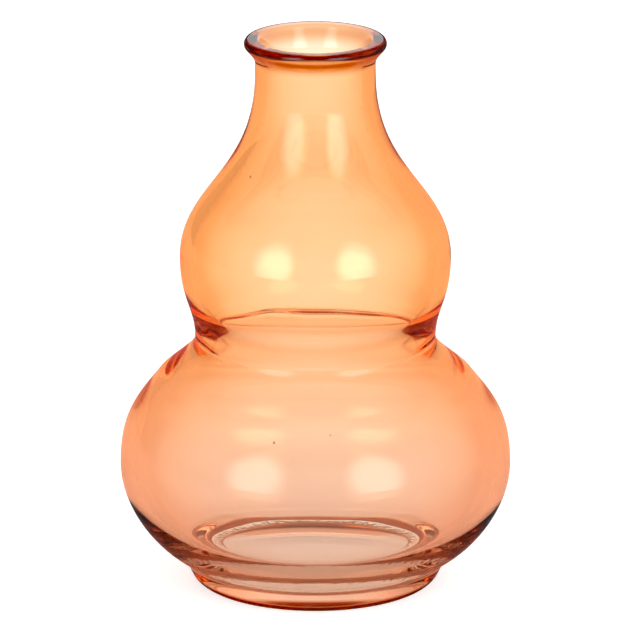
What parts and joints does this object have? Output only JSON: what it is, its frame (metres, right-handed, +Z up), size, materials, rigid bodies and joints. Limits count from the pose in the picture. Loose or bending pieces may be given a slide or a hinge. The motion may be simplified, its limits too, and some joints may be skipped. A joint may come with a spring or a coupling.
{
  "type": "gourd vase",
  "caption": "Gourd-shaped glass vase: round belly, smaller upper bulb, narrow neck with flared lip, foot ring, and a transparent apricot coat outside. Holds water and cut stems.",
  "frame": {"origin": "centre of the bearing ring, on the surface that the vase stands on", "axes": "+Z up along the axis of revolution; X and Y are alike"},
  "size_m": [0.11, 0.11, 0.1573],
  "materials": {
    "clear_glass": "fire-polished, moulded",
    "apricot_lacquer": "sprayed, transparent, glossy"
  },
  "bodies": {
    "root": {"glass_body": "clear_glass", "tint_coat": "apricot_lacquer"}
  },
  "joints": []
}
